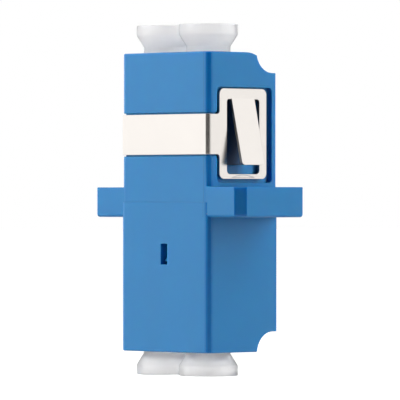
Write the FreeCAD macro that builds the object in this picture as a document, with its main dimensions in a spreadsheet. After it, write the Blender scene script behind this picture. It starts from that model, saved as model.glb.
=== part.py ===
import FreeCAD, Part
import math
import os
import re
import Sketcher
from FreeCAD import Vector

# Duplex LC fibre adapter: a flanged housing for an SC-size panel cut-out, its folded spring clip,
# two snap-in carriers that hold the split alignment sleeves, and a dust cap in each of the four ports.
# Frame: Z along the fibres with the panel side up, X across the two ports, -Y the face under the strap.
# Each piece is drawn about the optical mid-plane and lifted so that the lower caps stand on Z = 0.

SHEET = "Sizes"
FUNCTIONS = {"sin", "cos", "tan", "sqrt"}

SIZES = [
    # housing
    ("body_length", 29.9, "housing, end face to end face"),
    ("upper_width", 12.9, "panel side of the housing, across the ports"),
    ("upper_depth", 9.3, "panel side of the housing, front to back"),
    ("lower_width", 13.05, "rear side of the housing, across the ports"),
    ("lower_depth", 9.42, "rear side of the housing, front to back"),
    ("front_corner_radius", 0.7, "rounding of the long front edges"),
    ("back_corner_radius", 0.2, "rounding of the long back edges"),
    ("end_edge_radius", 0.15, "rounding round both end faces"),
    ("flange_width", 22.0, "flange, tip to tip"),
    ("flange_thickness", 3.0, "flange along Z"),
    ("flange_front", 4.6, "flange, mid-plane to front face"),
    ("flange_back", 4.65, "flange, mid-plane to back face"),
    ("flange_front_chamfer", 0.9, "corner chamfers at the front"),
    ("flange_back_chamfer", 0.75, "corner chamfers at the back"),
    ("flange_edge_radius", 0.3, "rounding of the flange's lower rim"),
    ("screw_hole_diameter", 2.2, "flange screw holes"),
    ("screw_hole_spacing", 18.0, "flange screw holes, centre to centre"),
    ("finger_cut_start", 1.94, "finger cut-outs, mid-plane to near edge"),
    ("finger_cut_height", 2.02, "finger cut-outs, end face to floor"),
    ("finger_cut_radius", 2.17, "finger cut-outs, rounding into the floor"),
    ("soft_edge_run", 0.8, "sloped lead into the upper finger cut-out"),
    ("soft_edge_drop", 0.28, "height lost over that lead"),
    ("soft_edge_radius", 3.0, "rounding where the lead leaves the end face"),
    # ports
    ("port_pitch", 6.25, "port to port"),
    ("port_size", 4.6, "square of each port"),
    ("front_wall", 0.81, "panel-side front face to the ports"),
    ("keyway_width", 2.9, "slot for the plug's lever"),
    ("keyway_height", 2.4, "slot for the plug's lever, above the port"),
    ("latch_shoulder", 2.6, "end face to the pocket behind the latch shoulders"),
    ("latch_pocket_length", 3.4, "pocket for the plug's latch ears, along Z"),
    ("latch_pocket_height", 1.1, "pocket for the plug's latch ears, above the port"),
    ("socket_floor", 2.0, "mid-plane to the floor of each port"),
    ("bridge_slot", 1.0, "gap through the partition for the carriers' bridge"),
    ("snap_window_width", 0.93, "snap window in the front wall"),
    ("snap_window_top", 4.15, "mid-plane down to the snap window's upper edge"),
    ("snap_window_bottom", 6.22, "mid-plane down to the snap window's lower edge"),
    # spring clip and its seat
    ("sheet_thickness", 0.3, "clip sheet"),
    ("strap_proud", 0.1, "strap standing proud of the front face"),
    ("strap_middle", 6.75, "mid-plane up to the strap's centre line"),
    ("strap_height", 4.02, "strap along Z"),
    ("strap_gap", 0.15, "groove clearance above and below the strap"),
    ("bend_radius", 0.25, "inside radius of the strap's folds"),
    ("leg_front_inset", 1.51, "housing's front face to the legs' front edge"),
    ("leg_back_inset", 1.36, "housing's back face to the legs' back edge"),
    ("leg_bottom", 2.31, "mid-plane up to the legs' lower edge"),
    ("leg_top", 11.3, "mid-plane up to the legs' upper edge"),
    ("leg_corner_radius", 0.6, "outer corners of the legs"),
    ("neck_fillet", 0.3, "inner corners where the strap meets a leg"),
    ("frame_front", 1.03, "leg edge to its window, front"),
    ("frame_back", 0.99, "leg edge to its window, back"),
    ("frame_bottom", 0.49, "leg edge to its window, bottom"),
    ("frame_top", 1.05, "leg edge to its window, top"),
    ("frame_corner_radius", 0.4, "lower corners of the leg windows"),
    ("tongue_slot", 0.63, "slot on each side of a tongue at its root"),
    ("tongue_angle", 13.3, "lean of the tongues, in degrees"),
    ("tongue_end_gap", 0.9, "window's lower edge to the tongue's end, along Z"),
    ("tongue_taper", 0.04, "narrowing of the tongue at each side, root to end"),
    ("tongue_corner_radius", 0.35, "corners at the tongue's end"),
    ("tongue_bend_radius", 0.8, "fold at the tongue's root"),
    ("dimple_width", 2.9, "pressed crescent below each window, along its flat edge"),
    ("dimple_height", 0.22, "pressed crescent, at its middle"),
    ("dimple_radius", 4.4, "pressed crescent, its round edge"),
    ("dimple_rise", 0.15, "leg's lower edge up to the crescent's flat edge"),
    ("dimple_depth", 0.06, "pressed crescent, into the sheet"),
    ("leg_pocket_depth", 0.45, "recess behind each leg, from the side face"),
    ("tongue_pocket_depth", 0.75, "room behind each tongue, from the side face"),
    ("leg_pocket_front", 0.31, "recess clearance in front of a leg"),
    ("leg_pocket_back", 0.72, "recess clearance behind a leg"),
    ("leg_pocket_bottom", 0.39, "recess clearance below a leg"),
    ("leg_pocket_top", 0.13, "recess clearance above a leg"),
    ("leg_pocket_radius", 0.4, "recess corners"),
    ("groove_corner_radius", 0.3, "corners where the groove runs into a recess"),
    # carriers and sleeves
    ("sleeve_length", 6.8, "split sleeve"),
    ("sleeve_bore", 1.25, "split sleeve, inside diameter"),
    ("sleeve_wall", 0.185, "split sleeve wall"),
    ("sleeve_slit", 0.2, "slit along the sleeve"),
    ("sleeve_play", 0.04, "room round a sleeve in its carrier"),
    ("sleeve_end_play", 0.1, "room at each end of a sleeve"),
    ("lip_bore", 1.4, "ferrule hole in the carrier's lip"),
    ("lip_length", 0.7, "carrier's lip past the sleeve"),
    ("lip_lead_in", 0.15, "chamfer at the ferrule hole"),
    ("carrier_tube", 3.0, "outside diameter of the carriers' tubes"),
    ("tube_play", 0.1, "room round a tube in the housing's cross wall"),
    ("upper_plate", 1.0, "plate of the upper carrier"),
    ("plate_play", 0.05, "room round the carriers' plates"),
    ("snap_arm_width", 0.7, "snap arm, across"),
    ("snap_arm_thickness", 0.6, "snap arm, front to back"),
    ("snap_end_gap", 0.27, "snap window's lower edge to the hook"),
    ("snap_hook_reach", 0.49, "hook's reach in front of the arm"),
    ("snap_hook_lead", 0.55, "sloped lead of the hook"),
    ("snap_hook_land", 0.15, "tip of the hook"),
    # dust caps
    ("cap_rim_diameter", 5.9, "head of a dust cap"),
    ("cap_rim_height", 1.0, "straight rim of the head"),
    ("cap_cone_height", 1.2, "cone from rim to neck"),
    ("cap_edge_bevel", 0.12, "edge of the flat head"),
    ("cap_shoulder_radius", 0.6, "rim into cone"),
    ("cap_play", 0.1, "room round a cap's plug in its port"),
    ("cap_bore", 3.2, "hollow inside the plug"),
    ("cap_head_thickness", 1.3, "solid head over the hollow"),
    ("cap_insertion", 7.4, "plug length inside the port"),
    ("cap_lead_in", 0.4, "chamfer at the plug's end"),
    ("cap_reach_upper", 2.8, "upper caps standing out of the housing"),
    ("cap_reach_lower", 2.35, "lower caps standing out of the housing"),
]

# Places worked out from the sizes, as text for the sheet's expressions.
END = "body_length / 2"
MID_HEIGHT = "cap_reach_lower + body_length / 2"
UPPER_FRONT = "upper_depth / 2"
LOWER_FRONT = "lower_depth / 2"
SIDE = "upper_width / 2"
PORT_FRONT = "upper_depth / 2 - front_wall"
PORT_BACK = "-upper_depth / 2 + front_wall + port_size"
PORT_MIDDLE = "-upper_depth / 2 + front_wall + port_size / 2"
STRAP_BOTTOM = "strap_middle - strap_height / 2"
STRAP_TOP = "strap_middle + strap_height / 2"
FRAME_TOP = "leg_top - frame_top"
FRAME_BOTTOM = "leg_bottom + frame_bottom"
LEG_FRONT = "(upper_depth / 2 - leg_front_inset)"
LEG_BACK = "(upper_depth / 2 - leg_back_inset)"
FRAME_FRONT = "-" + LEG_FRONT + " + frame_front"
FRAME_BACK = LEG_BACK + " - frame_back"
TONGUE_FRONT = FRAME_FRONT + " + tongue_slot"
TONGUE_BACK = FRAME_BACK + " - tongue_slot"
TONGUE_END = "leg_bottom + frame_bottom + tongue_end_gap"
TONGUE_DROP = "leg_top - frame_top - leg_bottom - frame_bottom - tongue_end_gap"
SLEEVE_ROOM = "sleeve_length / 2 + sleeve_end_play"
TUBE_END = "sleeve_length / 2 + sleeve_end_play + lip_length"
PLUG_RADIUS = "port_size / 2 - cap_play"


def make_sheet(doc):
    sheet = doc.addObject("Spreadsheet::Sheet", SHEET)
    for row, (alias, number, meaning) in enumerate(SIZES, start=1):
        sheet.set("A" + str(row), meaning)
        sheet.set("B" + str(row), str(number))
        sheet.setAlias("B" + str(row), alias)
    doc.recompute()
    return sheet


def bind(text):
    """The text with each alias led by the sheet's name, ready for setExpression."""

    def lead(match):
        word = match.group(0)
        return word if word in FUNCTIONS else SHEET + "." + word

    return re.sub(r"[a-z][a-z_]+", lead, str(text))


def value(doc, text):
    return float(doc.getObject(SHEET).evalExpression(bind(text)))


def new_body(doc, name, lift=MID_HEIGHT):
    body = doc.addObject("PartDesign::Body", name)
    body.Label = name
    body.setExpression("Placement.Base.z", bind(lift))
    return body


def origin_plane(body, role):
    return next(f for f in body.Origin.OriginFeatures if f.Role == role)


def new_sketch(body, name, role, offset="0"):
    """A sketch on one of the body's own origin planes, moved along the plane's normal."""
    sketch = body.newObject("Sketcher::SketchObject", name)
    sketch.AttachmentSupport = [(origin_plane(body, role), "")]
    sketch.MapMode = "FlatFace"
    sketch.setExpression("AttachmentOffset.Base.z", bind(offset))
    return sketch


def hold(sketch, geometry, position, place):
    """Fix one point of a sketch at (x, y), each a size expression."""
    for text, kind, axis in zip(place, ("DistanceX", "DistanceY"), (-2, -1)):
        if text == "0":
            sketch.addConstraint(Sketcher.Constraint("PointOnObject", geometry, position, axis))
            continue
        number = value(sketch.Document, text)
        index = sketch.addConstraint(Sketcher.Constraint(kind, -1, 1, geometry, position, number))
        sketch.setExpression("Constraints[%d]" % index, bind(text))


def corner_arc(before, corner, after, radius):
    """The arc that rounds a corner: its start, its end and the geometry, drawn anticlockwise."""
    towards = (before - corner).normalize()
    away = (after - corner).normalize()
    half_angle = towards.getAngle(away) / 2
    enter = corner + towards * (radius / math.tan(half_angle))
    leave = corner + away * (radius / math.tan(half_angle))
    centre = corner + (towards + away).normalize() * (radius / math.sin(half_angle))
    left_turn = (corner - before).cross(after - corner).z > 0
    first, last = (enter, leave) if left_turn else (leave, enter)
    angles = [math.atan2(p.y - centre.y, p.x - centre.x) for p in (first, last)]
    if angles[1] < angles[0]:
        angles[1] += 2 * math.pi
    arc = Part.ArcOfCircle(Part.Circle(centre, Vector(0, 0, 1), radius), *angles)
    return enter, leave, arc, left_turn


def add_outline(sketch, corners):
    """Close a loop through corners (x, y) or, where they are rounded, (x, y, radius)."""
    doc = sketch.Document
    points = [Vector(value(doc, c[0]), value(doc, c[1]), 0) for c in corners]
    count = len(corners)
    arcs = {}
    for i, corner in enumerate(corners):
        if len(corner) == 3:
            after = points[(i + 1) % count]
            arcs[i] = corner_arc(points[i - 1], points[i], after, value(doc, corner[2]))
    lines = []
    for i in range(count):
        start = arcs[i][1] if i in arcs else points[i]
        following = (i + 1) % count
        end = arcs[following][0] if following in arcs else points[following]
        lines.append(sketch.addGeometry(Part.LineSegment(start, end), False))
    for i, corner in enumerate(corners):
        before, after = lines[i - 1], lines[i]
        if i not in arcs:
            sketch.addConstraint(Sketcher.Constraint("Coincident", before, 2, after, 1))
            hold(sketch, after, 1, corner[:2])
            continue
        arc = sketch.addGeometry(arcs[i][2], False)
        first, last = (1, 2) if arcs[i][3] else (2, 1)
        sketch.addConstraint(Sketcher.Constraint("Tangent", before, 2, arc, first))
        sketch.addConstraint(Sketcher.Constraint("Tangent", arc, last, after, 1))
        radius = sketch.addConstraint(Sketcher.Constraint("Radius", arc, value(doc, corner[2])))
        sketch.setExpression("Constraints[%d]" % radius, bind(corner[2]))
        apex = sketch.addGeometry(Part.Point(points[i]), True)
        sketch.addConstraint(Sketcher.Constraint("PointOnObject", apex, 1, before))
        sketch.addConstraint(Sketcher.Constraint("PointOnObject", apex, 1, after))
        hold(sketch, apex, 1, corner[:2])


def add_box(sketch, left, right, bottom, top):
    add_outline(sketch, [(left, bottom), (right, bottom), (right, top), (left, top)])


def add_circle(sketch, x, y, diameter):
    doc = sketch.Document
    radius = value(doc, diameter) / 2
    centre = Vector(value(doc, x), value(doc, y), 0)
    circle = sketch.addGeometry(Part.Circle(centre, Vector(0, 0, 1), radius), False)
    hold(sketch, circle, 3, (x, y))
    index = sketch.addConstraint(Sketcher.Constraint("Diameter", circle, 2 * radius))
    sketch.setExpression("Constraints[%d]" % index, bind(diameter))


def add_feature(body, kind, name, sketch, length, reversed_side=False, symmetric=False):
    """A Pad or Pocket of the sketch; a Pocket has to take material away and a Pad to add it."""
    before = body.Shape.Volume if body.Tip else 0.0
    feature = body.newObject("PartDesign::" + kind, name)
    feature.Profile = sketch
    feature.Reversed = reversed_side
    if symmetric:
        feature.SideType = "Symmetric"
    if length is None:
        feature.Type = "ThroughAll"
    else:
        feature.setExpression("Length", bind(length))
    body.Document.recompute()
    gained = body.Shape.Volume - before
    if (gained <= 0) == (kind == "Pad"):
        raise RuntimeError(name + " changed the volume the wrong way")
    return feature


def face_at_height(feature, pick):
    """The name of the flat face lowest (min) or highest (max) along Z."""
    faces = feature.Shape.Faces
    flat = [i for i, f in enumerate(faces) if isinstance(f.Surface, Part.Plane)]
    level = [i for i in flat if abs(faces[i].normalAt(0, 0).z) > 0.999]
    return "Face%d" % (pick(level, key=lambda i: faces[i].CenterOfMass.z) + 1)


def edges_where(feature, test):
    return ["Edge%d" % (i + 1) for i, e in enumerate(feature.Shape.Edges) if test(e)]


def add_fillet(body, name, feature, names, radius):
    fillet = body.newObject("PartDesign::Fillet", name)
    fillet.Base = (feature, names)
    fillet.setExpression("Radius", bind(radius))
    body.Document.recompute()
    return fillet


def port_sides():
    return (("left", "-port_pitch / 2"), ("right", "port_pitch / 2"))


# ---- housing -------------------------------------------------------------------------------------

def block_outline(width, depth):
    half_width, half_depth = width + " / 2", depth + " / 2"
    return [
        ("-" + half_width, "-" + half_depth, "front_corner_radius"),
        (half_width, "-" + half_depth, "front_corner_radius"),
        (half_width, half_depth, "back_corner_radius"),
        ("-" + half_width, half_depth, "back_corner_radius"),
    ]


def flange_outline():
    tip = "flange_width / 2"
    front_in = "flange_width / 2 - flange_front_chamfer"
    back_in = "flange_width / 2 - flange_back_chamfer"
    right = [
        (front_in, "-flange_front"),
        (tip, "-flange_front + flange_front_chamfer"),
        (tip, "flange_back - flange_back_chamfer"),
        (back_in, "flange_back"),
    ]
    left = [("-(" + x + ")", y) for x, y in reversed(right)]
    return right + left


def add_housing_blocks(body):
    plan = new_sketch(body, "flange_plan", "XY_Plane")
    add_outline(plan, flange_outline())
    flange = add_feature(body, "Pad", "flange", plan, "flange_thickness", symmetric=True)
    add_fillet(body, "flange_lower_rim", flange, [face_at_height(flange, min)], "flange_edge_radius")
    plan = new_sketch(body, "upper_plan", "XY_Plane")
    add_outline(plan, block_outline("upper_width", "upper_depth"))
    upper = add_feature(body, "Pad", "upper_block", plan, END)
    add_fillet(body, "upper_end_edge", upper, [face_at_height(upper, max)], "end_edge_radius")
    plan = new_sketch(body, "lower_plan", "XY_Plane")
    add_outline(plan, block_outline("lower_width", "lower_depth"))
    lower = add_feature(body, "Pad", "lower_block", plan, END, reversed_side=True)
    add_fillet(body, "lower_end_edge", lower, [face_at_height(lower, min)], "end_edge_radius")


def add_finger_cuts(body):
    beyond = "lower_depth / 2 + finger_cut_radius"
    for name, sign in (("upper", ""), ("lower", "-")):
        cut = new_sketch(body, name + "_finger_profile", "YZ_Plane")
        outside = sign + "(" + END + " + finger_cut_radius)"
        inside = sign + "(" + END + " - finger_cut_height)"
        add_outline(cut, [
            ("finger_cut_start", outside),
            (beyond, outside),
            (beyond, inside),
            ("finger_cut_start", inside, "finger_cut_radius"),
        ])
        add_feature(body, "Pocket", name + "_finger_cut", cut, None, symmetric=True)
    lead = new_sketch(body, "soft_edge_profile", "YZ_Plane")
    add_outline(lead, [
        ("finger_cut_start - 2 * soft_edge_radius", END + " + soft_edge_drop"),
        ("finger_cut_start - 2 * soft_edge_radius", END),
        ("finger_cut_start - soft_edge_run", END, "soft_edge_radius"),
        ("finger_cut_start + soft_edge_run", END + " - 2 * soft_edge_drop"),
        ("finger_cut_start + soft_edge_run", END + " + soft_edge_drop"),
    ])
    add_feature(body, "Pocket", "soft_edge", lead, None, symmetric=True)


def add_ports(body):
    """Square sockets, lever keyways and latch pockets, then the room for the carriers."""
    cross_wall = "socket_floor - upper_plate"
    depths = (
        ("upper", END, END + " - socket_floor", False),
        ("lower", "-" + END, END + " + upper_plate", True),
    )
    for name, level, depth, from_below in depths:
        socket = new_sketch(body, name + "_socket_plan", "XY_Plane", level)
        keyway = new_sketch(body, name + "_keyway_plan", "XY_Plane", level)
        shoulder = "latch_shoulder" if from_below else "-latch_shoulder"
        latch = new_sketch(body, name + "_latch_plan", "XY_Plane", level + " + " + shoulder)
        for _, x in port_sides():
            sides = (x + " - port_size / 2", x + " + port_size / 2")
            add_box(socket, *sides, "-(" + PORT_FRONT + ")", PORT_BACK)
            lever = (x + " - keyway_width / 2", x + " + keyway_width / 2")
            add_box(keyway, *lever, PORT_MIDDLE, PORT_BACK + " + keyway_height")
            add_box(latch, *sides, PORT_MIDDLE, PORT_BACK + " + latch_pocket_height")
        add_feature(body, "Pocket", name + "_sockets", socket, depth, from_below)
        add_feature(body, "Pocket", name + "_keyways", keyway, END + " - socket_floor", from_below)
        add_feature(body, "Pocket", name + "_latch_pockets", latch, "latch_pocket_length", from_below)
    holes = new_sketch(body, "cross_wall_plan", "XY_Plane", "socket_floor")
    for _, x in port_sides():
        add_circle(holes, x, PORT_MIDDLE, "carrier_tube + 2 * tube_play")
    add_feature(body, "Pocket", "cross_wall_holes", holes, cross_wall)


def add_snap_seat(body):
    """The partition's gap for the carriers' bridge, and the window that the hook snaps into."""
    gap = new_sketch(body, "bridge_plan", "XY_Plane", "-" + END)
    front = "-(" + PORT_FRONT + ")"
    add_box(gap, "-port_pitch / 2", "port_pitch / 2", front, front + " + bridge_slot")
    add_feature(body, "Pocket", "bridge_gap", gap, END + " + upper_plate", reversed_side=True)
    window = new_sketch(body, "snap_window_outline", "XZ_Plane", LOWER_FRONT)
    sides = ("-snap_window_width / 2", "snap_window_width / 2")
    add_box(window, *sides, "-snap_window_bottom", "-snap_window_top")
    depth = LOWER_FRONT + " - (" + PORT_FRONT + ") + bridge_slot / 2"
    add_feature(body, "Pocket", "snap_window", window, depth)


def add_clip_seat(body):
    """The groove round the front for the strap, and recesses behind each leg and its tongue."""
    bottom = STRAP_BOTTOM + " - strap_gap"
    groove = new_sketch(body, "strap_groove_plan", "XY_Plane", bottom)
    outside = SIDE + " + sheet_thickness"
    floor_side = SIDE + " - sheet_thickness"
    floor_front = "-" + UPPER_FRONT + " - strap_proud + sheet_thickness"
    radius = "bend_radius + strap_gap"
    leg_side = "-" + LEG_FRONT
    add_outline(groove, [
        ("-(" + outside + ")", leg_side),
        ("-(" + outside + ")", "-" + UPPER_FRONT + " - sheet_thickness"),
        (outside, "-" + UPPER_FRONT + " - sheet_thickness"),
        (outside, leg_side),
        (floor_side, leg_side),
        (floor_side, floor_front, radius),
        ("-(" + floor_side + ")", floor_front, radius),
        ("-(" + floor_side + ")", leg_side),
    ])
    height = "strap_height + 2 * strap_gap"
    add_feature(body, "Pocket", "strap_groove", groove, height, reversed_side=True)
    front = "-" + LEG_FRONT + " - leg_pocket_front"
    back = LEG_BACK + " + leg_pocket_back"
    low = "leg_bottom - leg_pocket_bottom"
    high = "leg_top + leg_pocket_top"
    for name, level, far_side in (("left", "-(" + SIDE + ")", True), ("right", SIDE, False)):
        recess = new_sketch(body, name + "_leg_recess_outline", "YZ_Plane", level)
        corners = [(front, low), (back, low), (back, high), (front, high)]
        add_outline(recess, [corner + ("leg_pocket_radius",) for corner in corners])
        add_feature(body, "Pocket", name + "_leg_recess", recess, "leg_pocket_depth", far_side)
        room = new_sketch(body, name + "_tongue_recess_outline", "YZ_Plane", level)
        add_outline(room, [
            (FRAME_FRONT, TONGUE_END),
            (FRAME_BACK, TONGUE_END),
            (FRAME_BACK, FRAME_TOP),
            (FRAME_FRONT, FRAME_TOP),
        ])
        pocket = add_feature(body, "Pocket", name + "_tongue_recess", room, "tongue_pocket_depth", far_side)
    doc = body.Document
    wall = value(doc, front)
    levels = [value(doc, bottom), value(doc, bottom + " + " + height)]

    def at_groove_mouth(edge):
        middle = edge.CenterOfMass
        along_x = edge.BoundBox.XLength > 0.9 * edge.Length
        return along_x and abs(middle.y - wall) < 1e-4 and min(abs(middle.z - z) for z in levels) < 1e-4

    corner_edges = edges_where(pocket, at_groove_mouth)
    add_fillet(body, "groove_mouth_corners", pocket, corner_edges, "groove_corner_radius")


def make_housing(doc):
    body = new_body(doc, "adapter_housing")
    add_housing_blocks(body)
    add_finger_cuts(body)
    add_ports(body)
    add_snap_seat(body)
    add_clip_seat(body)
    holes = new_sketch(body, "screw_hole_plan", "XY_Plane", "flange_thickness")
    for side in ("-", ""):
        add_circle(holes, side + "screw_hole_spacing / 2", "0", "screw_hole_diameter")
    add_feature(body, "Pocket", "screw_holes", holes, "2 * flange_thickness")
    return body


# ---- spring clip ---------------------------------------------------------------------------------

def leg_outline():
    """A leg with the stub of the strap on its front edge, as (Y, Z)."""
    front, back = "-" + LEG_FRONT, LEG_BACK
    stub = "-" + UPPER_FRONT + " + sheet_thickness + bend_radius"
    round_off = "leg_corner_radius"
    return [
        (front, "leg_bottom", round_off),
        (back, "leg_bottom", round_off),
        (back, "leg_top", round_off),
        (front, "leg_top", round_off),
        (front, STRAP_TOP, "neck_fillet"),
        (stub, STRAP_TOP),
        (stub, STRAP_BOTTOM),
        (front, STRAP_BOTTOM, "neck_fillet"),
    ]


def add_tongue(body):
    """One tongue folded out of the right leg, then trimmed to its tapered, round-cornered end."""
    outer = SIDE
    inner = SIDE + " - sheet_thickness"
    drift = "(" + TONGUE_DROP + ") * tan(tongue_angle)"
    lean = new_sketch(body, "tongue_profile", "XZ_Plane",
                      "-(" + TONGUE_FRONT + " + " + TONGUE_BACK + ") / 2")
    add_outline(lean, [
        (outer, "leg_top - frame_top / 2"),
        (inner, "leg_top - frame_top / 2"),
        (inner, FRAME_TOP + " - sheet_thickness * tan(tongue_angle / 2)",
         "tongue_bend_radius + sheet_thickness"),
        (outer + " + " + drift + " - sheet_thickness * cos(tongue_angle)",
         TONGUE_END + " - sheet_thickness * sin(tongue_angle)"),
        (outer + " + " + drift, TONGUE_END),
        (outer, FRAME_TOP, "tongue_bend_radius"),
    ])
    width = TONGUE_BACK + " - (" + TONGUE_FRONT + ")"
    add_feature(body, "Pad", "tongue", lean, width, symmetric=True)
    trim = new_sketch(body, "tongue_trim_outline", "YZ_Plane", outer + " - sheet_thickness")
    top = FRAME_TOP + " - tongue_slot"
    below = TONGUE_END + " - sheet_thickness"
    add_outline(trim, [
        (TONGUE_FRONT, top),
        (TONGUE_FRONT + " - tongue_slot / 2", top),
        (TONGUE_FRONT + " - tongue_slot / 2", below),
        (TONGUE_BACK + " + tongue_slot / 2", below),
        (TONGUE_BACK + " + tongue_slot / 2", top),
        (TONGUE_BACK, top),
        (TONGUE_BACK + " - tongue_taper", TONGUE_END, "tongue_corner_radius"),
        (TONGUE_FRONT + " + tongue_taper", TONGUE_END, "tongue_corner_radius"),
    ])
    add_feature(body, "Pocket", "tongue_trim", trim, drift + " + 2 * sheet_thickness", True)


def add_dimple(body):
    """The shallow crescent pressed into the right leg below its window."""
    middle = "(" + FRAME_FRONT + " + " + FRAME_BACK + ") / 2"
    base = "leg_bottom + dimple_rise"
    crescent = new_sketch(body, "dimple_outline", "YZ_Plane", SIDE)
    add_outline(crescent, [
        (middle + " - dimple_width / 2", base),
        (middle + " + dimple_width / 2", base),
        (middle, base + " + 2 * dimple_height", "dimple_radius"),
    ])
    add_feature(body, "Pocket", "dimple", crescent, "dimple_depth")


def make_clip(doc):
    body = new_body(doc, "panel_clip")
    legs = new_sketch(body, "leg_outline", "YZ_Plane")
    add_outline(legs, leg_outline())
    add_feature(body, "Pad", "legs", legs, "upper_width", symmetric=True)
    strap = new_sketch(body, "strap_plan", "XY_Plane", STRAP_BOTTOM)
    outer_front = "-" + UPPER_FRONT + " - strap_proud"
    outer_radius = "bend_radius + sheet_thickness"
    add_outline(strap, [
        ("-(" + SIDE + ")", outer_front, outer_radius),
        (SIDE, outer_front, outer_radius),
        (SIDE, "-" + LEG_FRONT),
        ("-(" + SIDE + ")", "-" + LEG_FRONT),
    ])
    add_feature(body, "Pad", "strap", strap, "strap_height")
    hollow = new_sketch(body, "hollow_plan", "XY_Plane")
    inside = SIDE + " - sheet_thickness"
    inner_front = outer_front + " + sheet_thickness"
    add_outline(hollow, [
        ("-(" + inside + ")", inner_front, "bend_radius"),
        (inside, inner_front, "bend_radius"),
        (inside, LEG_BACK + " + sheet_thickness"),
        ("-(" + inside + ")", LEG_BACK + " + sheet_thickness"),
    ])
    add_feature(body, "Pocket", "hollow", hollow, None, symmetric=True)
    window = new_sketch(body, "frame_outline", "YZ_Plane")
    add_outline(window, [
        (FRAME_FRONT, FRAME_BOTTOM, "frame_corner_radius"),
        (FRAME_BACK, FRAME_BOTTOM, "frame_corner_radius"),
        (FRAME_BACK, FRAME_TOP, "tongue_slot / 2.1"),
        (FRAME_FRONT, FRAME_TOP, "tongue_slot / 2.1"),
    ])
    add_feature(body, "Pocket", "frame_windows", window, None, symmetric=True)
    add_tongue(body)
    add_dimple(body)
    mirrored = body.newObject("PartDesign::Mirrored", "left_tongue")
    mirrored.Originals = [doc.getObject(name) for name in ("tongue", "tongue_trim", "dimple")]
    mirrored.MirrorPlane = (origin_plane(body, "YZ_Plane"), [""])
    body.Tip = mirrored
    doc.recompute()
    return body


# ---- carriers and sleeves ------------------------------------------------------------------------

def plate_outline():
    """Two square plates joined by a bridge along their front edges."""
    far = "port_pitch / 2 + port_size / 2 - plate_play"
    near = "port_pitch / 2 - port_size / 2 + plate_play"
    front = "-(" + PORT_FRONT + ") + plate_play"
    bridge_back = "-(" + PORT_FRONT + ") + bridge_slot - plate_play"
    back = PORT_BACK + " - plate_play"
    return [
        ("-(" + far + ")", front),
        (far, front),
        (far, back),
        (near, back),
        (near, bridge_back),
        ("-(" + near + ")", bridge_back),
        ("-(" + near + ")", back),
        ("-(" + far + ")", back),
    ]


def make_carrier(doc, name, plate, below):
    """Plates, tubes and bores of one carrier, which reaches up, or down where below is true."""
    body = new_body(doc, name)
    prefix = name + "_"
    plates = new_sketch(body, prefix + "plate_plan", "XY_Plane")
    add_outline(plates, plate_outline())
    add_feature(body, "Pad", prefix + "plates", plates, plate, below)
    tubes = new_sketch(body, prefix + "tube_plan", "XY_Plane")
    room = new_sketch(body, prefix + "room_plan", "XY_Plane")
    lips = new_sketch(body, prefix + "lip_plan", "XY_Plane")
    for _, x in port_sides():
        add_circle(tubes, x, PORT_MIDDLE, "carrier_tube")
        add_circle(room, x, PORT_MIDDLE, "sleeve_bore + 2 * sleeve_wall + 2 * sleeve_play")
        add_circle(lips, x, PORT_MIDDLE, "lip_bore")
    add_feature(body, "Pad", prefix + "tubes", tubes, TUBE_END, below)
    add_feature(body, "Pocket", prefix + "sleeve_room", room, SLEEVE_ROOM, not below)
    lip = add_feature(body, "Pocket", prefix + "lip_bores", lips, TUBE_END, not below)
    mouth_height = value(doc, TUBE_END) * (-1 if below else 1)
    lip_radius = value(doc, "lip_bore") / 2

    def at_mouth(edge):
        round_edge = isinstance(edge.Curve, Part.Circle)
        return (round_edge and abs(edge.Curve.Radius - lip_radius) < 1e-4
                and abs(edge.CenterOfMass.z - mouth_height) < 1e-4)

    lead_in = body.newObject("PartDesign::Chamfer", prefix + "lead_in")
    lead_in.Base = (lip, edges_where(lip, at_mouth))
    lead_in.setExpression("Size", bind("lip_lead_in"))
    doc.recompute()
    return body


def add_snap_arm(body):
    """The springy arm below the lower carrier's bridge, with the hook that holds it in the housing."""
    front = "-(" + PORT_FRONT + ") + plate_play"
    tip = "-snap_window_bottom + snap_end_gap"
    crest = front + " - snap_hook_reach"
    profile = new_sketch(body, "snap_arm_profile", "YZ_Plane")
    add_outline(profile, [
        (front, "-socket_floor / 2"),
        (front, tip + " + snap_hook_land + snap_hook_lead"),
        (crest, tip + " + snap_hook_land"),
        (crest, tip + " + snap_hook_land / 2"),
        (front, tip),
        (front + " + snap_arm_thickness", tip),
        (front + " + snap_arm_thickness", "-socket_floor / 2"),
    ])
    add_feature(body, "Pad", "snap_arm", profile, "snap_arm_width", symmetric=True)


def make_sleeve(doc, name, x):
    body = new_body(doc, name)
    body.setExpression("Placement.Base.x", bind(x))
    body.setExpression("Placement.Base.y", bind(PORT_MIDDLE))
    ring = new_sketch(body, name + "_ring", "XY_Plane")
    add_circle(ring, "0", "0", "sleeve_bore + 2 * sleeve_wall")
    add_circle(ring, "0", "0", "sleeve_bore")
    add_feature(body, "Pad", name + "_tube", ring, "sleeve_length", symmetric=True)
    slit = new_sketch(body, name + "_slit_outline", "YZ_Plane")
    add_box(slit, "-sleeve_slit / 2", "sleeve_slit / 2", "-sleeve_length", "sleeve_length")
    add_feature(body, "Pocket", name + "_slit", slit, "sleeve_bore", reversed_side=True)
    return body


# ---- dust caps -----------------------------------------------------------------------------------

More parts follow.
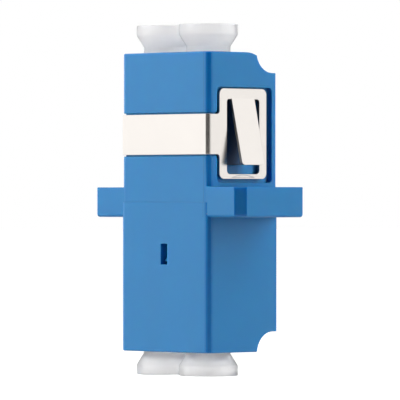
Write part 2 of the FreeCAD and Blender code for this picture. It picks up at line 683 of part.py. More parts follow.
def cap_profile(reach):
    """Half section as (radius, Z), from the flat head at Z = 0 down to the plug's end."""
    rim = "cap_rim_diameter / 2"
    cone_end = "-cap_rim_height - cap_cone_height"
    end = "-" + reach + " - cap_insertion"
    return [
        ("0", "0"),
        (rim + " - cap_edge_bevel", "0"),
        (rim, "-cap_edge_bevel"),
        (rim, "-cap_rim_height", "cap_shoulder_radius"),
        (PLUG_RADIUS, cone_end),
        (PLUG_RADIUS, end + " + cap_lead_in"),
        (PLUG_RADIUS + " - cap_lead_in / 2", end),
        ("cap_bore / 2", end),
        ("cap_bore / 2", "-cap_head_thickness"),
        ("0", "-cap_head_thickness"),
    ]


def make_cap(doc, name, x, reach, head_height, flipped):
    body = new_body(doc, name, head_height)
    body.setExpression("Placement.Base.x", bind(x))
    body.setExpression("Placement.Base.y", bind(PORT_MIDDLE))
    profile = new_sketch(body, name + "_profile", "XZ_Plane")
    add_outline(profile, cap_profile(reach))
    turned = body.newObject("PartDesign::Revolution", name + "_turned")
    turned.Profile = profile
    turned.ReferenceAxis = (profile, ["V_Axis"])
    turned.Angle = 360.0
    if flipped:
        body.Placement.Rotation = FreeCAD.Rotation(Vector(1, 0, 0), 180)
    doc.recompute()
    return body


# ---- the whole adapter ---------------------------------------------------------------------------

def make_adapter(doc):
    make_sheet(doc)
    pieces = [make_housing(doc), make_clip(doc)]
    pieces.append(make_carrier(doc, "sleeve_carrier_upper", "upper_plate", False))
    lower = make_carrier(doc, "sleeve_carrier_lower", "socket_floor", True)
    add_snap_arm(lower)
    pieces.append(lower)
    for side, x in port_sides():
        pieces.append(make_sleeve(doc, "split_sleeve_" + side, x))
    top = "cap_reach_lower + body_length + cap_reach_upper"
    for side, x in port_sides():
        pieces.append(make_cap(doc, "dust_cap_top_" + side, x, "cap_reach_upper", top, False))
        pieces.append(make_cap(doc, "dust_cap_bottom_" + side, x, "cap_reach_lower", "0", True))
    doc.recompute()
    return pieces


def check(doc, pieces):
    for obj in doc.Objects:
        if "Invalid" in obj.State or "Error" in obj.State:
            raise RuntimeError(obj.Name + " did not build")
    for piece in pieces:
        if piece.Shape.isNull() or not piece.Shape.isValid():
            raise RuntimeError(piece.Label + " has no valid shape")


def write(pieces):
    os.makedirs("parts", exist_ok=True)
    for piece in pieces:
        piece.Shape.exportStep("parts/" + piece.Label + ".step")


document = FreeCAD.newDocument("lc_adapter")
adapter = make_adapter(document)
check(document, adapter)
write(adapter)
for part in adapter:
    box = part.Shape.BoundBox
    print("%-22s solids %d  volume %8.3f  x %.2f..%.2f  y %.2f..%.2f  z %.2f..%.2f" % (
        part.Label, len(part.Shape.Solids), part.Shape.Volume,
        box.XMin, box.XMax, box.YMin, box.YMax, box.ZMin, box.ZMax))
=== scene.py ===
import math

import bmesh
import bpy
from mathutils import Matrix, Vector


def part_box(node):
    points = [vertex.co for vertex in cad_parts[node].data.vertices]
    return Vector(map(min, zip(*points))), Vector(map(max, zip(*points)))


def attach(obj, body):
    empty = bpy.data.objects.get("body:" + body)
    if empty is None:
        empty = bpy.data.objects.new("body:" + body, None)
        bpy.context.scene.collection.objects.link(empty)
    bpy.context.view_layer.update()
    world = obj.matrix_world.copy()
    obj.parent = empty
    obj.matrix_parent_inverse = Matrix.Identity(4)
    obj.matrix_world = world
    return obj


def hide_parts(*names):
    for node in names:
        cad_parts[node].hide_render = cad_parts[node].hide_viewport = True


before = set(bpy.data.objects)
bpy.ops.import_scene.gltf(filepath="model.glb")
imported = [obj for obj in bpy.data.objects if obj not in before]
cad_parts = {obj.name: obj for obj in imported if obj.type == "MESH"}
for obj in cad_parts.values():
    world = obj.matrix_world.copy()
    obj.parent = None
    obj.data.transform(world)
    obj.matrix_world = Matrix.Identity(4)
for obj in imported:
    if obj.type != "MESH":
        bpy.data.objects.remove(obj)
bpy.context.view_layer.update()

mm = 0.001
white = (1.0, 1.0, 1.0, 1.0)


# small helpers for node trees

def feed(tree, target, source):
    # a socket is linked, anything else is set as the input's own value
    if isinstance(source, bpy.types.NodeSocket):
        tree.links.new(source, target)
    else:
        target.default_value = source


def addNode(tree, kind, inputs=None, **settings):
    # inputs go by name, or by place where a node has several of one name
    node = tree.nodes.new(kind)
    for name, value in settings.items():
        setattr(node, name, value)
    for socket, source in (inputs or {}).items():
        feed(tree, node.inputs[socket], source)
    return node


def mathNode(tree, operation, *values):
    return addNode(tree, "ShaderNodeMath", dict(enumerate(values)), operation=operation).outputs[0]


def rangeMap(tree, source, fromLow, fromHigh, toLow, toHigh):
    values = dict(enumerate((source, fromLow, fromHigh, toLow, toHigh)))
    return addNode(tree, "ShaderNodeMapRange", values).outputs[0]


def mixColour(tree, factor, first, second):
    return addNode(tree, "ShaderNodeMix", {0: factor, 6: first, 7: second}, data_type="RGBA").outputs[2]


def scaleValue(tree, colour, share):
    return addNode(tree, "ShaderNodeHueSaturation", {"Color": colour, "Value": share}).outputs["Color"]


def objectPlace(tree):
    return addNode(tree, "ShaderNodeTexCoord").outputs["Object"]


def noise(tree, coordinate, scale, detail, stretch=(1.0, 1.0, 1.0)):
    place = addNode(tree, "ShaderNodeMapping", {"Vector": coordinate, "Scale": stretch}).outputs["Vector"]
    values = {"Vector": place, "Scale": scale, "Detail": detail}
    return addNode(tree, "ShaderNodeTexNoise", values).outputs["Fac"]


def swing(tree, pattern, share, base):
    # a pattern from 0 to 1 adds to the base and takes from it alike
    return mathNode(tree, "MULTIPLY_ADD", mathNode(tree, "SUBTRACT", pattern, 0.5), share, base)


def addBump(tree, shader, height, strength, distance):
    bump = addNode(tree, "ShaderNodeBump", {"Height": height, "Strength": strength, "Distance": distance})
    feed(tree, shader.inputs["Normal"], bump.outputs["Normal"])


def newMaterial(name, values):
    material = bpy.data.materials.new(name)
    material.use_nodes = True
    shader = material.node_tree.nodes["Principled BSDF"]
    for socket, value in values.items():
        shader.inputs[socket].default_value = value
    return material, material.node_tree, shader


def newGroup(name, takes, gives):
    tree = bpy.data.node_groups.new(name, "ShaderNodeTree")
    for socket, (kind, value) in takes.items():
        tree.interface.new_socket(socket, in_out="INPUT", socket_type=kind).default_value = value
    for socket, kind in gives.items():
        tree.interface.new_socket(socket, in_out="OUTPUT", socket_type=kind)
    return tree, addNode(tree, "NodeGroupInput").outputs, addNode(tree, "NodeGroupOutput").inputs


def addObject(name, data):
    added = bpy.data.objects.new(name, data)
    bpy.context.scene.collection.objects.link(added)
    return added


# camera, lamps, floor

cameraView = {
    "azimuth": 47.09,                        # degrees, 0 looks along +Y
    "distance": 0.5,                         # metres, as are all lengths here
    "lens": 448.0,                           # in the camera's own millimetres, as is the sensor
    "sensor": 36.0,
    "clip": (0.01, 20.0),
    "aim": (0.108 * mm, 0.116 * mm, 17.52 * mm),       # level with the camera, at the adapter's mid-height
}

studio = {
    # azimuth, width, height, power, seen in gloss
    "lamps": {
        "leftPanel": (-50.0, 0.86, 0.70, 1.24, True),
        "rightPanel": (131.0, 0.22, 0.70, 0.23, True),
        "leftKey": (-38.0, 0.20, 0.50, 1.46, False),       # plain light for the faces, kept out of the gloss
        "rightKey": (134.0, 0.08, 0.50, 1.50, False),
    },
    "lampDistance": 0.30,
    "lampRaise": 0.20,
    "topPower": 0.35,
    "topHeight": 0.45,
    "topWidth": 0.3,
    "fill": 0.06,               # what the world adds to matt surfaces
    "floorDrop": 0.0095,        # the lower caps pull out downwards, so the floor stands clear of them
    "floorReach": 3.0,
    "floor": {"Base Color": (0.45, 0.45, 0.45, 1.0), "Roughness": 0.9, "Emission Color": white},
    # how bright the floor looks by itself, mirrored in polished surfaces, and through clear ones
    "floorGlow": {"Is Camera Ray": 0.91, "Is Glossy Ray": 0.50, "Is Transmission Ray": 0.74},
    # azimuth, width: dark cards that give the gloss its dark stretches
    "cards": {"frontCard": (41.0, 1.45), "rightCard": (182.0, 1.0)},
    "cardDistance": 0.75,
    "cardHeight": 1.0,
    "card": {"Base Color": (0.060, 0.050, 0.043, 1.0), "Roughness": 1.0, "Specular IOR Level": 0.0},
}


def around(azimuth, distance, height):
    angle = math.radians(azimuth)
    return Vector((distance * math.sin(angle), -distance * math.cos(angle), height))


def uprightTurn(azimuth):
    # level, looking from this azimuth towards the adapter
    return math.pi / 2, 0.0, math.radians(azimuth)


def addCamera():
    data = bpy.data.cameras.new("camera")
    data.lens = cameraView["lens"]
    data.sensor_width = cameraView["sensor"]
    data.clip_start, data.clip_end = cameraView["clip"]
    camera = addObject("camera", data)
    aim = Vector(cameraView["aim"])
    camera.location = aim + around(cameraView["azimuth"], cameraView["distance"], 0.0)
    camera.rotation_euler = uprightTurn(cameraView["azimuth"])
    bpy.context.scene.camera = camera


def addLamp(name, place, turn, power, width, height):
    data = bpy.data.lights.new(name, "AREA")
    data.shape = "RECTANGLE"
    data.size = width
    data.size_y = height
    data.energy = power
    lamp = addObject(name, data)
    lamp.location = place
    lamp.rotation_euler = turn
    lamp.visible_camera = False
    return lamp


def addSheet(name, corners, material):
    mesh = bpy.data.meshes.new(name)
    mesh.from_pydata(corners, [], [(0, 1, 2, 3)])
    mesh.materials.append(material)
    sheet = addObject(name, mesh)
    return sheet


def addLamps():
    aim = Vector(cameraView["aim"])
    for name, (azimuth, width, height, power, inGloss) in studio["lamps"].items():
        place = around(azimuth, studio["lampDistance"], aim.z + studio["lampRaise"])
        lamp = addLamp(name, place, uprightTurn(azimuth), power, width, height)
        lamp.visible_glossy = inGloss
    above = Vector((0.0, 0.0, studio["topHeight"]))
    downwards = (aim - above).to_track_quat("-Z", "Y").to_euler()
    addLamp("topLamp", above, downwards, studio["topPower"], studio["topWidth"], studio["topWidth"])


def addFloor():
    material, tree, shader = newMaterial("paleFloor", studio["floor"])
    path = addNode(tree, "ShaderNodeLightPath")
    glow = 0.0
    for ray, strength in studio["floorGlow"].items():
        glow = mathNode(tree, "MAXIMUM", mathNode(tree, "MULTIPLY", path.outputs[ray], strength), glow)
    feed(tree, shader.inputs["Emission Strength"], glow)
    low, reach = -studio["floorDrop"], studio["floorReach"]
    corners = [(-reach, -reach, low), (reach, -reach, low), (reach, reach, low), (-reach, reach, low)]
    addSheet("floor", corners, material)


def addCards():
    darkCard = newMaterial("darkCard", studio["card"])[0]
    top = Vector((0.0, 0.0, studio["cardHeight"]))
    for name, (azimuth, width) in studio["cards"].items():
        middle = around(azimuth, studio["cardDistance"], 0.0)
        side = around(azimuth + 90.0, width / 2, 0.0)
        corners = [middle + side, middle - side, middle - side + top, middle + side + top]
        card = addSheet(name, corners, darkCard)
        card.visible_camera = False
        card.visible_transmission = False


def addWorld():
    # white wherever it is seen, mirrored or looked through to, and only a little fill otherwise
    world = bpy.data.worlds.new("studio")
    bpy.context.scene.world = world
    world.use_nodes = True
    tree = world.node_tree
    background = tree.nodes["Background"]
    background.inputs["Color"].default_value = white
    path = addNode(tree, "ShaderNodeLightPath")
    seen = mathNode(tree, "MAXIMUM", path.outputs["Is Camera Ray"], path.outputs["Is Glossy Ray"])
    seen = mathNode(tree, "MAXIMUM", seen, path.outputs["Is Transmission Ray"])
    feed(tree, background.inputs["Strength"], rangeMap(tree, seen, 0.0, 1.0, studio["fill"], 1.0))
    bpy.context.scene.view_settings.view_transform = "Standard"


addCamera()
addLamps()
addFloor()
addCards()
addWorld()
print("studio ready")


# moulded plastic: slow tone drift, flow streaks and a fine spark-eroded grain

mouldedPattern = {
    "driftScale": 170.0,
    "driftDetail": 3.0,
    "streakScale": 420.0,
    "streakDetail": 4.0,
    "streakStretch": (1.0, 1.0, 0.16),      # the melt flows along Z
    "grainDetail": 2.0,
    "grainRoughness": 0.1,                  # how far the grain alone changes the roughness
}


def mouldedSurfaceGroup():
    made = mouldedPattern
    tree, given, out = newGroup("mouldedSurface", {
        "Colour": ("NodeSocketColor", (0.5, 0.5, 0.5, 1.0)),
        "Tone": ("NodeSocketFloat", 0.08),                   # share that the tone drifts
        "Flow": ("NodeSocketFloat", 0.05),                   # share that flow streaks add
        "Roughness": ("NodeSocketFloat", 0.4),
        "Rough Drift": ("NodeSocketFloat", 0.08),
        "Grain Size": ("NodeSocketFloat", 0.12 * mm),
    }, {"Colour": "NodeSocketColor", "Roughness": "NodeSocketFloat", "Grain": "NodeSocketFloat"})
    coordinate = objectPlace(tree)
    drift = noise(tree, coordinate, made["driftScale"], made["driftDetail"])
    streaks = noise(tree, coordinate, made["streakScale"], made["streakDetail"], made["streakStretch"])
    grain = noise(tree, coordinate, mathNode(tree, "DIVIDE", 1.0, given["Grain Size"]), made["grainDetail"])
    tone = swing(tree, streaks, given["Flow"], swing(tree, drift, given["Tone"], 1.0))
    roughness = swing(tree, streaks, given["Rough Drift"], given["Roughness"])
    feed(tree, out["Colour"], scaleValue(tree, given["Colour"], tone))
    feed(tree, out["Roughness"], swing(tree, grain, made["grainRoughness"], roughness))
    feed(tree, out["Grain"], grain)
    return tree


mouldedSurface = mouldedSurfaceGroup()


def mouldedMaterial(name, made):
    material, tree, shader = newMaterial(name, made["plastic"])
    surface = addNode(tree, "ShaderNodeGroup", made["surface"], node_tree=mouldedSurface).outputs
    feed(tree, shader.inputs["Base Color"], surface["Colour"])
    feed(tree, shader.inputs["Roughness"], surface["Roughness"])
    addBump(tree, shader, surface["Grain"], *made["grain"])
    return material, tree, shader, surface


# rolled sheet metal: fine lines along the rolling direction and a slow cloudiness

rolledPattern = {
    "lineScale": 14000.0,
    "lineStretch": (0.03, 0.03, 1.0),       # the sheet was rolled along the strap
    "cloudScale": 300.0,
    "detail": 3.0,
    "cloudTone": 0.06,
    "lineRoughness": 0.14,
    "cloudRoughness": 0.08,
}


def rolledSheetGroup():
    made = rolledPattern
    tree, given, out = newGroup("rolledSheet", {
        "Colour": ("NodeSocketColor", (0.8, 0.8, 0.8, 1.0)),
        "Roughness": ("NodeSocketFloat", 0.25),
        "Line Strength": ("NodeSocketFloat", 0.08),
    }, {"Colour": "NodeSocketColor", "Roughness": "NodeSocketFloat", "Lines": "NodeSocketFloat"})
    coordinate = objectPlace(tree)
    lines = noise(tree, coordinate, made["lineScale"], made["detail"], made["lineStretch"])
    cloud = noise(tree, coordinate, made["cloudScale"], made["detail"])
    tone = swing(tree, cloud, made["cloudTone"], swing(tree, lines, given["Line Strength"], 1.0))
    roughness = swing(tree, lines, made["lineRoughness"], given["Roughness"])
    feed(tree, out["Colour"], scaleValue(tree, given["Colour"], tone))
    feed(tree, out["Roughness"], swing(tree, cloud, made["cloudRoughness"], roughness))
    feed(tree, out["Lines"], lines)
    return tree


rolledSheet = rolledSheetGroup()
print("surfaces ready")


# housing and clip take the CAD's own form and break its sharp edges

weldGap = 0.0005 * mm
flatTurn = 0.6            # degrees, triangles that turn less than this are one face
smoothMargin = 10.0       # degrees beyond the broken edges' angle up to which faces shade as one


def flatMesh(piece):
    # the evaluated mesh takes the place of the modifiers
    evaluated = piece.evaluated_get(bpy.context.evaluated_depsgraph_get())
    mesh = bpy.data.meshes.new_from_object(evaluated)
    mesh.name = piece.name
    piece.modifiers.clear()
    piece.data = mesh
    return piece


def softenedCopy(node, name, edges):
    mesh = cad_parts[node].data.copy()
    mesh.name = name
    skin = bmesh.new()
    skin.from_mesh(mesh)
    bmesh.ops.remove_doubles(skin, verts=skin.verts, dist=weldGap)
    bmesh.ops.dissolve_limit(skin, angle_limit=math.radians(flatTurn), verts=skin.verts, edges=skin.edges)
    skin.to_mesh(mesh)
    skin.free()
    triangleNormals = mesh.attributes.get("custom_normal")
    if triangleNormals:                  # they belonged to the loose triangles
        mesh.attributes.remove(triangleNormals)
    mesh.materials.append(mesh.materials[0])
    mesh.shade_smooth()
    piece = addObject(name, mesh)
    bevel = piece.modifiers.new("brokenEdges", "BEVEL")
    bevel.width = edges["width"]
    bevel.segments = edges["segments"]
    bevel.limit_method = "ANGLE"
    bevel.angle_limit = math.radians(edges["angle"])
    bevel.use_clamp_overlap = False
    bevel.material = 1                   # marks the broken edges until their normals are set
    return flatMesh(piece)


def keepFacesTrue(mesh, edges):
    # the faces keep the normals of their own surface, and the broken edges take up the whole turn
    skin = bmesh.new()
    skin.from_mesh(mesh)
    skin.normal_update()
    smoothLimit = math.cos(math.radians(edges["angle"] + smoothMargin))
    normals = []
    for face in skin.faces:
        onEdge = face.material_index == 1
        for corner in face.loops:
            nearby = [other for other in corner.vert.link_faces if other.material_index == 0]
            if not onEdge:
                nearby = [other for other in nearby if other.normal.dot(face.normal) > smoothLimit]
            if not nearby:
                nearby = list(corner.vert.link_faces)
            total = Vector((0.0, 0.0, 0.0))
            for other in nearby:
                total += other.normal * other.calc_area()
            normals.append(total.normalized() if total.length > 0.0 else face.normal.copy())
    skin.free()
    mesh.shade_smooth()
    mesh.normals_split_custom_set(normals)


def paint(mesh, material):
    mesh.materials.clear()
    mesh.materials.append(material)
    for face in mesh.polygons:
        face.material_index = 0


# housing

housingMake = {
    "surface": {
        "Colour": (0.004, 0.195, 0.466, 1.0),
        "Tone": 0.10,
        "Flow": 0.07,
        "Roughness": 0.42,
        "Rough Drift": 0.10,
        "Grain Size": 0.11 * mm,
    },
    "plastic": {
        "Specular IOR Level": 0.5,
        "Subsurface Weight": 0.6,
        "Subsurface Radius": (0.1, 0.6, 1.0),
        "Subsurface Scale": 1.2 * mm,
    },
    "grain": (0.10, 0.012 * mm),                  # strength and depth
    "edges": {"width": 0.05 * mm, "segments": 2, "angle": 28.0},
    # a fine dark line painted down the front face near its right end
    "darkLinePlace": 5.72 * mm,                    # its X
    "darkLineWidth": (0.012 * mm, 0.03 * mm),      # from its middle to where it fades, and to its end
    "darkLineFront": -4.5 * mm,                    # only in front of this Y
    "darkLineFoot": 15.8 * mm,                     # only above this Z, the flange's lower face
    "darkLineStrength": 0.45,
    # room behind a tongue, sideways, front to back and upwards, which lies in its own shade
    "recess": ((5.6 * mm, 5.95 * mm), (-3.0 * mm, 3.0 * mm), (20.9 * mm, 29.0 * mm)),
    "recessShade": 0.80,
    "shadeColour": (0.0, 0.008, 0.04, 1.0),
    # rounded and chamfered upright corners get painted light, a brighter and deeper blue, and are smoother
    "cornerPaintedLight": (0.0, 0.200, 0.54, 1.0),
    "cornerRoughness": 0.22,
    "cornerMask": "uprightCorner",
    "cornerSlant": (0.12, 0.42),                  # from none to full, as a face turns between X and Y
}


def frontDarkLine(tree, x, y, z):
    made = housingMake
    apart = mathNode(tree, "ABSOLUTE", mathNode(tree, "SUBTRACT", x, made["darkLinePlace"]))
    line = rangeMap(tree, apart, *made["darkLineWidth"], 1.0, 0.0)
    onFront = mathNode(tree, "LESS_THAN", y, made["darkLineFront"])
    onUpper = mathNode(tree, "GREATER_THAN", z, made["darkLineFoot"])
    return mathNode(tree, "MULTIPLY", mathNode(tree, "MULTIPLY", line, onFront), onUpper)


def behindTongue(tree, x, y, z):
    mask = 1.0
    for along, (low, high) in zip((mathNode(tree, "ABSOLUTE", x), y, z), housingMake["recess"]):
        inside = mathNode(tree, "MULTIPLY", mathNode(tree, "GREATER_THAN", along, low),
                          mathNode(tree, "LESS_THAN", along, high))
        mask = mathNode(tree, "MULTIPLY", inside, mask)
    return mask


def housingMaterial():
    made = housingMake
    material, tree, shader, surface = mouldedMaterial("housingBlue", made)
    place = addNode(tree, "ShaderNodeSeparateXYZ", {0: objectPlace(tree)})
    # the fine dark line down the front face is mixed towards the shade colour
    shade = mathNode(tree, "MULTIPLY", frontDarkLine(tree, *place.outputs), made["darkLineStrength"])
    shade = mathNode(tree, "MULTIPLY_ADD", behindTongue(tree, *place.outputs), made["recessShade"], shade)
    onCorner = addNode(tree, "ShaderNodeAttribute", attribute_name=made["cornerMask"]).outputs["Fac"]
    # painted light: faces that turn between X and Y are mixed towards a brighter, deeper blue
    colour = mixColour(tree, onCorner, surface["Colour"], made["cornerPaintedLight"])
    feed(tree, shader.inputs["Base Color"], mixColour(tree, shade, colour, made["shadeColour"]))
    smoother = mathNode(tree, "SUBTRACT", surface["Roughness"], made["cornerRoughness"])
    smoother = mathNode(tree, "MULTIPLY", smoother, onCorner)
    feed(tree, shader.inputs["Roughness"], mathNode(tree, "SUBTRACT", surface["Roughness"], smoother))
    return material


def markCorners(mesh):
    start, full = housingMake["cornerSlant"]
    mask = mesh.attributes.new(housingMake["cornerMask"], "FLOAT", "CORNER")
    for corner, normal in zip(mask.data, mesh.corner_normals):
        slant = abs(normal.vector.x * normal.vector.y)
        corner.value = min(max((slant - start) / (full - start), 0.0), 1.0)


def addHousing():
    housing = softenedCopy("adapter_housing", "housingShell", housingMake["edges"])
    # the bevel overshoots by a hair, so the CAD's own box holds it
    low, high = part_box("adapter_housing")
    for vertex in housing.data.vertices:
        vertex.co = [min(max(place, least), most) for place, least, most in zip(vertex.co, low, high)]
    keepFacesTrue(housing.data, housingMake["edges"])
    markCorners(housing.data)
    paint(housing.data, housingMaterial())
    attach(housing, "adapter")
    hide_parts("adapter_housing")


addHousing()
print("housing ready")


# clip, with its sheared edges duller than its faces

clipMake = {
    "faces": {"Colour": (0.63, 0.60, 0.57, 1.0), "Roughness": 0.19, "Line Strength": 0.06},
    "shearedEdges": {"Colour": (0.44, 0.43, 0.415, 1.0), "Roughness": 0.42, "Line Strength": 0.16},
    "lines": (0.06, 0.006 * mm),          # strength and depth
    "edges": {"width": 0.028 * mm, "segments": 2, "angle": 28.0},
    "legFront": -3.3 * mm,                # the strap lies in front of this, the legs behind it
    "acrossSheet": 0.75,                  # a face that turns this far out of the sheet's own face is an edge
}


def steelMaterial(name, values):
    material, tree, shader = newMaterial(name, {"Metallic": 1.0})
    surface = addNode(tree, "ShaderNodeGroup", values, node_tree=rolledSheet).outputs
    feed(tree, shader.inputs["Base Color"], surface["Colour"])
    feed(tree, shader.inputs["Roughness"], surface["Roughness"])
    addBump(tree, shader, surface["Lines"], *clipMake["lines"])
    return material


def isSheared(face):
    onStrap = face.center.y < clipMake["legFront"]
    across = abs(face.normal.z) if onStrap else math.hypot(face.normal.y, face.normal.z)
    return across > clipMake["acrossSheet"]


def addClip():
    clip = softenedCopy("panel_clip", "clipSheet", clipMake["edges"])
    keepFacesTrue(clip.data, clipMake["edges"])
    paint(clip.data, steelMaterial("clipSheet", clipMake["faces"]))
    clip.data.materials.append(steelMaterial("clipShearedEdge", clipMake["shearedEdges"]))
    for face in clip.data.polygons:
        face.material_index = int(isSheared(face))
    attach(clip, "adapter")
    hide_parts("panel_clip")


addClip()
print("clip ready")


# carriers and sleeves keep their CAD form

carrierMake = {
    "surface": {
        "Colour": (0.012, 0.20, 0.48, 1.0),
        "Tone": 0.08,
        "Flow": 0.05,
        "Roughness": 0.40,
        "Rough Drift": 0.08,
        "Grain Size": 0.09 * mm,
    },
    "plastic": {"Specular IOR Level": 0.5},
    "grain": (0.08, 0.01 * mm),           # strength and depth
}

sleeveMake = {
    "ceramic": {
        "Subsurface Weight": 0.15,
        "Subsurface Radius": (1.0, 0.9, 0.8),
        "Subsurface Scale": 0.3 * mm,
    },
    "colours": ((0.86, 0.85, 0.81, 1.0), (0.90, 0.895, 0.87, 1.0)),
    "roughness": (0.08, 0.16),
    "cloudScale": 900.0,
    "cloudDetail": 3.0,
    "grindingScale": 12000.0,
    "grindingDetail": 2.0,
    "grindingStretch": (1.0, 1.0, 0.05),
    "grinding": (0.03, 0.004 * mm),       # strength and depth
}


def ceramicMaterial():
    made = sleeveMake
    material, tree, shader = newMaterial("sleeveCeramic", made["ceramic"])
    coordinate = objectPlace(tree)
    cloud = noise(tree, coordinate, made["cloudScale"], made["cloudDetail"])
    feed(tree, shader.inputs["Base Color"], mixColour(tree, cloud, *made["colours"]))
    feed(tree, shader.inputs["Roughness"], rangeMap(tree, cloud, 0.0, 1.0, *made["roughness"]))
    grinding = noise(tree, coordinate, made["grindingScale"], made["grindingDetail"], made["grindingStretch"])
    addBump(tree, shader, grinding, *made["grinding"])
    return material


carrierBlue = mouldedMaterial("carrierBlue", carrierMake)[0]
sleeveCeramic = ceramicMaterial()
for name in ("sleeve_carrier_upper", "sleeve_carrier_lower"):
    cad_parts[name].material_slots[0].material = carrierBlue
for name in ("split_sleeve_left", "split_sleeve_right"):
    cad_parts[name].material_slots[0].material = sleeveCeramic
print("carriers and sleeves ready")


# dust caps: one turned form, used four times

dustCap = {
    "sizes": {
        "Head Radius": 2.95 * mm,
        "Head Edge": 0.12 * mm,
        "Rim Height": 1.0 * mm,
        "Shoulder": 0.6 * mm,
        "Cone Height": 1.2 * mm,
        "Plug Radius": 2.2 * mm,
        "Reach": 2.8 * mm,                # how far the cap stands out of its port
        "Insertion": 7.4 * mm,
        "Lead In": 0.4 * mm,
        "Bore Radius": 1.6 * mm,
        "Head Thickness": 1.3 * mm,
        "Gate Radius": 0.75 * mm,
        "Gate Depth": 0.07 * mm,
        "Neck Rounding": 0.12 * mm,
    },
    "lowerReach": 2.35 * mm,
    "turnSteps": 96,
    "roundSteps": 7,
    "creaseAngle": 35.0,                  # degrees
    "surface": {
        "Colour": (0.985, 0.975, 0.98, 1.0),
        "Tone": 0.05,
        "Flow": 0.04,
        "Roughness": 0.52,
        "Rough Drift": 0.08,
        "Grain Size": 0.16 * mm,
    },
    "plastic": {
        "Subsurface Weight": 1.0,
        "Subsurface Radius": (1.0, 1.0, 1.0),
        "Subsurface Scale": 1.0 * mm,
        "Transmission Weight": 0.78,      # share of the light that the milky plastic lets straight through
    },
    "grain": (0.08, 0.012 * mm),          # strength and depth
}


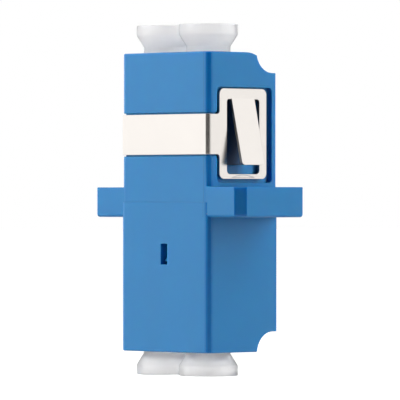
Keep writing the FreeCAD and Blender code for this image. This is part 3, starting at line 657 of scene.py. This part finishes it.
def turnedCapTree():
    tree = bpy.data.node_groups.new("turnedCap", "GeometryNodeTree")
    tree.interface.new_socket("Geometry", in_out="INPUT", socket_type="NodeSocketGeometry")
    for name, size in dustCap["sizes"].items():
        tree.interface.new_socket(name, in_out="INPUT", socket_type="NodeSocketFloat").default_value = size
    tree.interface.new_socket("Material", in_out="INPUT", socket_type="NodeSocketMaterial")
    tree.interface.new_socket("Geometry", in_out="OUTPUT", socket_type="NodeSocketGeometry")
    given = addNode(tree, "NodeGroupInput").outputs

    coneEnd = mathNode(tree, "ADD", given["Rim Height"], given["Cone Height"])
    plugEnd = mathNode(tree, "ADD", given["Reach"], given["Insertion"])
    leadStart = mathNode(tree, "SUBTRACT", plugEnd, given["Lead In"])
    leadNarrowing = mathNode(tree, "MULTIPLY", given["Lead In"], 0.5)
    leadRadius = mathNode(tree, "SUBTRACT", given["Plug Radius"], leadNarrowing)
    gateWall = mathNode(tree, "ADD", given["Gate Radius"], given["Gate Depth"])
    crispEdge = mathNode(tree, "MULTIPLY", given["Head Edge"], 0.5)
    profile = (                       # radius, depth below the head's face, rounding
        (0.0, given["Gate Depth"], 0.0),
        (given["Gate Radius"], given["Gate Depth"], crispEdge),
        (gateWall, 0.0, crispEdge),
        (given["Head Radius"], 0.0, given["Head Edge"]),
        (given["Head Radius"], given["Rim Height"], given["Shoulder"]),
        (given["Plug Radius"], coneEnd, given["Neck Rounding"]),
        (given["Plug Radius"], leadStart, given["Neck Rounding"]),
        (leadRadius, plugEnd, crispEdge),
        (given["Bore Radius"], plugEnd, crispEdge),
        (given["Bore Radius"], given["Head Thickness"], given["Head Edge"]),
        (0.0, given["Head Thickness"], 0.0),
    )
    step = addNode(tree, "GeometryNodeInputIndex").outputs[0]

    def chooseByStep(column):
        node = addNode(tree, "GeometryNodeIndexSwitch", {0: step}, data_type="FLOAT")
        while len(node.index_switch_items) < len(profile):
            node.index_switch_items.new()
        for socket, point in zip(node.inputs[1:], profile):
            feed(tree, socket, point[column])
        return node.outputs[0]

    spineRadius = 1.0 * mm            # the profile hangs from a small circle round the axis
    across = mathNode(tree, "SUBTRACT", chooseByStep(0), spineRadius)
    place = addNode(tree, "ShaderNodeCombineXYZ", {0: across, 1: chooseByStep(1)})
    points = addNode(tree, "GeometryNodePoints", {"Count": len(profile), "Position": place.outputs[0]})
    outline = addNode(tree, "GeometryNodePointsToCurves", {"Points": points.outputs[0]})
    rounded = addNode(tree, "GeometryNodeFilletCurve", {
        "Curve": outline.outputs[0],
        "Count": dustCap["roundSteps"],
        "Radius": chooseByStep(2),
        "Limit Radius": True,
    }, mode="POLY")
    spine = addNode(tree, "GeometryNodeCurvePrimitiveCircle", {
        "Resolution": dustCap["turnSteps"],
        "Radius": spineRadius,
    }, mode="RADIUS")
    turned = addNode(tree, "GeometryNodeCurveToMesh", {
        "Curve": spine.outputs[0],
        "Profile Curve": rounded.outputs[0],
    })
    welded = addNode(tree, "GeometryNodeMergeByDistance", {
        "Geometry": turned.outputs[0],
        "Distance": weldGap,
    })
    angle = addNode(tree, "GeometryNodeInputMeshEdgeAngle").outputs[0]
    smooth = addNode(tree, "GeometryNodeSetShadeSmooth", {
        "Geometry": welded.outputs[0],
        "Shade Smooth": mathNode(tree, "LESS_THAN", angle, math.radians(dustCap["creaseAngle"])),
    }, domain="EDGE")
    realised = addNode(tree, "GeometryNodeRealizeInstances", {0: smooth.outputs[0]})
    painted = addNode(tree, "GeometryNodeSetMaterial", {
        "Geometry": realised.outputs[0],
        "Material": given["Material"],
    })
    addNode(tree, "NodeGroupOutput", {0: painted.outputs[0]})
    return tree


turnedCap = turnedCapTree()
milkyCap = mouldedMaterial("milkyCap", dustCap)[0]


def setInput(modifier, name, value):
    sockets = modifier.node_group.interface.items_tree
    socket = next(item for item in sockets if item.name == name and item.in_out == "INPUT")
    modifier[socket.identifier] = value


def addCap(level, side):
    node = "dust_cap_" + level + "_" + side
    low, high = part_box(node)
    cap = addObject("dustCap_" + level + "_" + side, bpy.data.meshes.new("capStart"))
    turning = cap.modifiers.new("turnedCap", "NODES")
    turning.node_group = turnedCap
    setInput(turning, "Material", milkyCap)
    headFace, turn = high.z, Matrix.Identity(4)
    if level == "bottom":
        setInput(turning, "Reach", dustCap["lowerReach"])
        headFace, turn = low.z, Matrix.Rotation(math.pi, 4, "X")
    flatMesh(cap)
    place = Matrix.Translation(((low.x + high.x) / 2, (low.y + high.y) / 2, headFace))
    cap.data.transform(place @ turn)
    skin = bmesh.new()
    skin.from_mesh(cap.data)
    bmesh.ops.recalc_face_normals(skin, faces=skin.faces)
    skin.to_mesh(cap.data)
    skin.free()
    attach(cap, "cap_" + level + "_" + side)
    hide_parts(node)


for level in ("top", "bottom"):
    for side in ("left", "right"):
        addCap(level, side)
print("dust caps ready")
